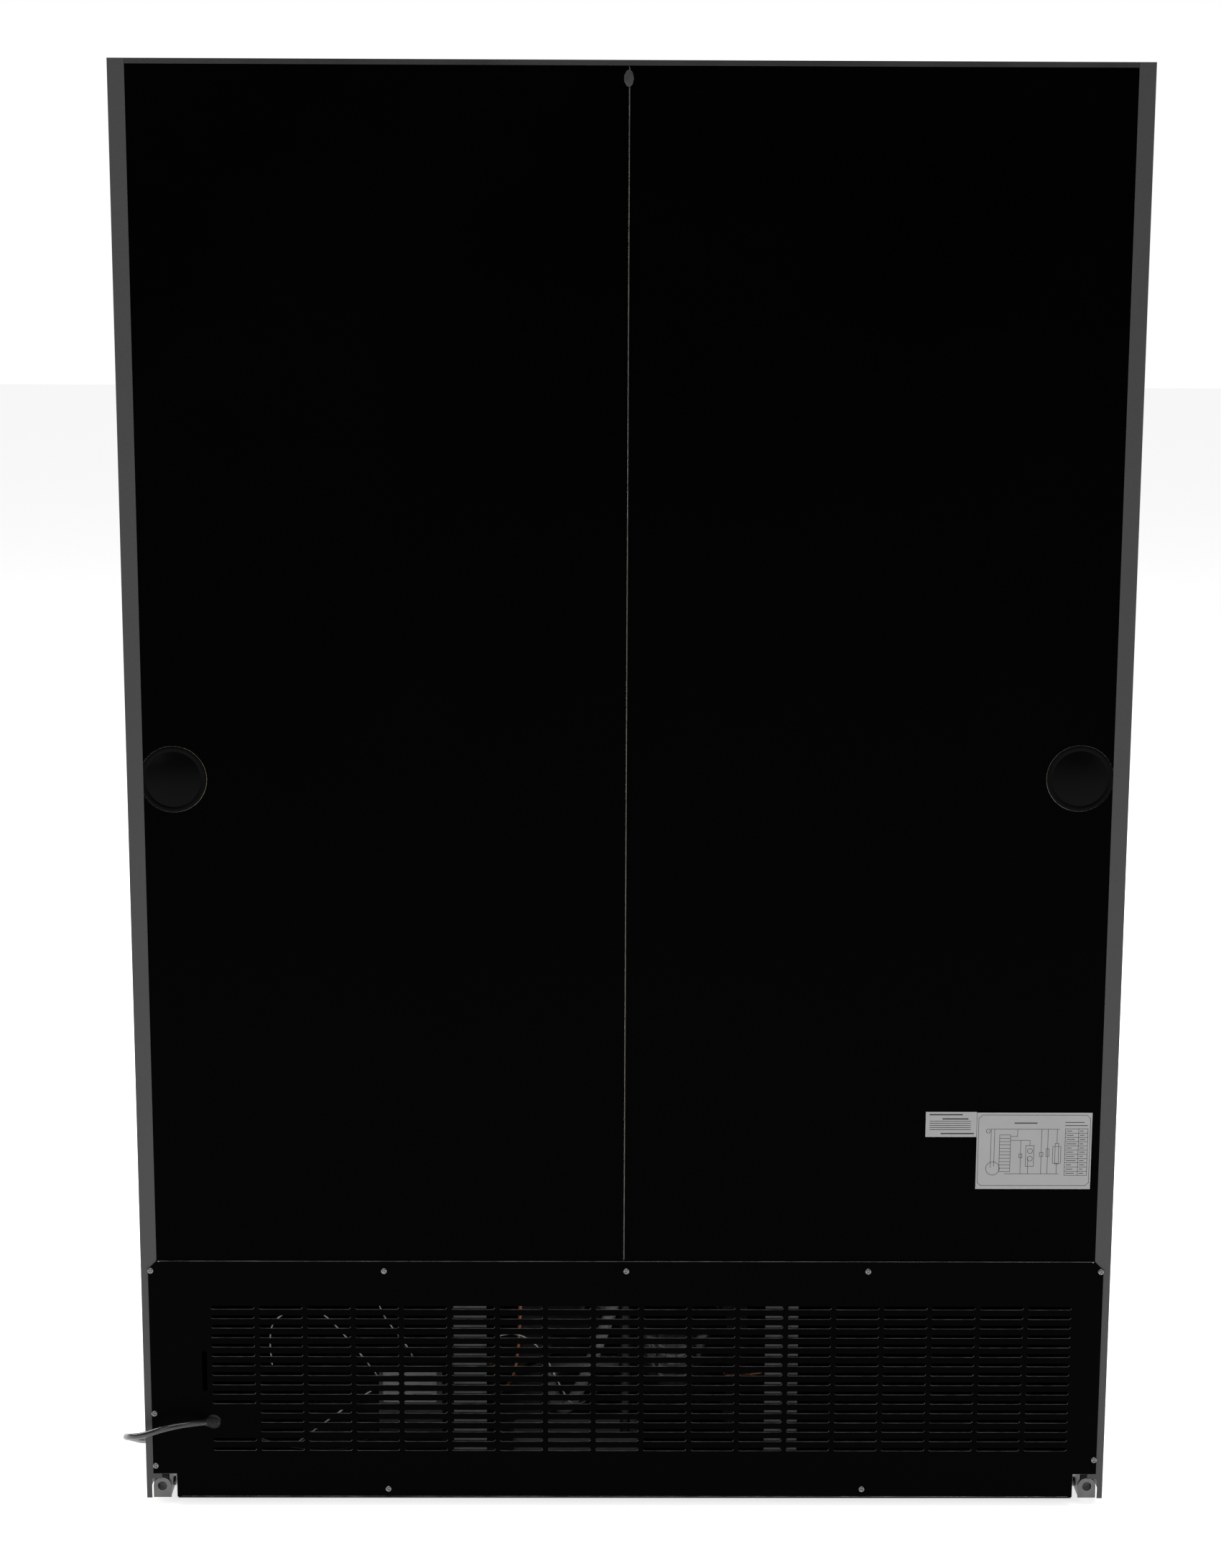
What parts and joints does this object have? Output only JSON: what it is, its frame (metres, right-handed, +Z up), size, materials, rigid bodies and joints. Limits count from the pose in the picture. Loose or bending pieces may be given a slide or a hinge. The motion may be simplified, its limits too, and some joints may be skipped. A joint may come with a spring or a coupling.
{
  "type": "glass door merchandiser",
  "caption": "Upright refrigerated display cabinet with swinging glass doors, wire shelves, an illuminated header and a louvred rear machine compartment with a power cord.",
  "frame": {"origin": "on the floor, under the middle of the cabinet's bounding box (cord not counted)", "axes": "+Z up; -Y towards the user at the doors; +Y out of the louvred rear; +X to the user's right when facing the doors"},
  "size_m": [1.3878, 0.9211, 1.988],
  "materials": {
    "black_paint": "satin black powder coat",
    "rear_black": "glossy black pre-painted steel",
    "grille_black": "matte black powder coat",
    "galvanised": "galvanised steel",
    "zinc": "zinc-plated steel",
    "white_liner": "white coated aluminium",
    "foam": "rigid polyurethane foam",
    "black_plastic": "matte black plastic",
    "white_plastic": "matte white plastic",
    "grey_plastic": "grey moulded plastic",
    "sign_face": "translucent white acrylic",
    "lamp": "frosted lamp cover",
    "white_wire": "white plastic-coated wire",
    "dark_aluminium": "black anodised aluminium",
    "fin_aluminium": "aluminium fins",
    "rail_aluminium": "slotted aluminium channel",
    "compressor_black": "gloss black enamel",
    "copper": "copper tube",
    "clear_glass": "clear insulated glass",
    "black_rubber": "black rubber",
    "hose_grey": "pale braided sleeve",
    "cord_black": "black PVC cord",
    "knob_black": "glossy black plastic",
    "label_white": "printed label stock"
  },
  "bodies": {
    "cabinet": {"side_panel_left": "black_paint", "side_panel_right": "black_paint", "top_panel": "black_paint", "back_panel_left": "rear_black", "back_panel_right": "rear_black", "foam_port_plugs": "rear_black", "louver_panel": "grille_black", "front_grille": "grille_black", "insulation": "foam", "liner": "white_liner", "face_frame": "black_plastic", "mullion": "black_plastic", "light_box": "black_paint", "sign_panel": "sign_face", "light_bars": "lamp", "base_frame": "black_paint", "galvanised_decks": "galvanised", "rear_posts": "galvanised", "rear_brackets": "zinc", "compressor": "compressor_black", "compressor_grommets": "black_rubber", "condenser_coil": "fin_aluminium", "condenser_shroud": "galvanised", "condenser_motor": "black_paint", "drain_pan": "grey_plastic", "drain_tube": "white_plastic", "suction_line": "hose_grey", "refrigerant_pipes": "copper", "junction_box": "black_plastic", "evaporator_coil": "fin_aluminium", "evaporator_housing": "white_liner", "evaporator_motors": "black_paint", "shelf_pilasters": "rail_aluminium", "shelf_clips": "zinc", "shelves_left": "white_wire", "shelves_right": "white_wire", "hinge_brackets": "zinc", "rear_screws": "zinc", "labels": "label_white", "cord_gland": "black_rubber", "cord_tube": "cord_black", "cord_coil": "cord_black", "cord_plug": "cord_black"},
    "door_left": {"door_frame_left": "dark_aluminium", "door_glass_left": "clear_glass", "door_gasket_left": "black_rubber", "door_handle_left": "dark_aluminium"},
    "door_right": {"door_frame_right": "dark_aluminium", "door_glass_right": "clear_glass", "door_gasket_right": "black_rubber", "door_handle_right": "dark_aluminium"},
    "condenser_fan_wheel": {"condenser_fan": "fin_aluminium"},
    "evaporator_fan_wheel_left": {"evaporator_fan_left": "black_plastic"},
    "evaporator_fan_wheel_right": {"evaporator_fan_right": "black_plastic"},
    "roller_left": {"rear_roller_left": "grey_plastic"},
    "roller_right": {"rear_roller_right": "grey_plastic"},
    "foot_left": {"levelling_foot_left": "zinc"},
    "foot_right": {"levelling_foot_right": "zinc"},
    "knob": {"thermostat_knob": "knob_black"},
    "rocker": {"light_switch": "knob_black"}
  },
  "joints": [
    {"name": "door_left_hinge", "type": "hinge", "parent": "cabinet", "child": "door_left", "pos_m": [-0.655, -0.335, 1.022], "axis": [0, 0, -1], "range_deg": [0, 110], "stiffness_Nm_per_rad": 1.5, "springref_deg": -51.57},
    {"name": "door_right_hinge", "type": "hinge", "parent": "cabinet", "child": "door_right", "pos_m": [0.655, -0.335, 1.022], "axis": [0, 0, 1], "range_deg": [0, 110], "stiffness_Nm_per_rad": 1.5, "springref_deg": -51.57},
    {"name": "condenser_fan_spin", "type": "hinge", "parent": "cabinet", "child": "condenser_fan_wheel", "pos_m": [-0.02, -0.15, 0.18], "axis": [0, 1, 0], "continuous": true},
    {"name": "evaporator_fan_left_spin", "type": "hinge", "parent": "cabinet", "child": "evaporator_fan_wheel_left", "pos_m": [-0.19, 0.08, 1.836], "axis": [0, 1, 0], "continuous": true},
    {"name": "evaporator_fan_right_spin", "type": "hinge", "parent": "cabinet", "child": "evaporator_fan_wheel_right", "pos_m": [0.19, 0.08, 1.836], "axis": [0, 1, 0], "continuous": true},
    {"name": "roller_left_spin", "type": "hinge", "parent": "cabinet", "child": "roller_left", "pos_m": [-0.6533, 0.3624, 0.0225], "axis": [1, 0, 0], "continuous": true},
    {"name": "roller_right_spin", "type": "hinge", "parent": "cabinet", "child": "roller_right", "pos_m": [0.6533, 0.3624, 0.0225], "axis": [1, 0, 0], "continuous": true},
    {"name": "foot_left_screw", "type": "slide", "parent": "cabinet", "child": "foot_left", "axis": [0, 0, -1], "range_m": [0, 0.015]},
    {"name": "foot_right_screw", "type": "slide", "parent": "cabinet", "child": "foot_right", "axis": [0, 0, -1], "range_m": [0, 0.015]},
    {"name": "thermostat_turn", "type": "hinge", "parent": "cabinet", "child": "knob", "pos_m": [0.045, 0.055, 1.836], "axis": [0, -1, 0], "range_deg": [0, 280]},
    {"name": "light_switch_rock", "type": "hinge", "parent": "cabinet", "child": "rocker", "pos_m": [-0.045, 0.066, 1.836], "axis": [1, 0, 0], "range_deg": [-10, 10]}
  ]
}
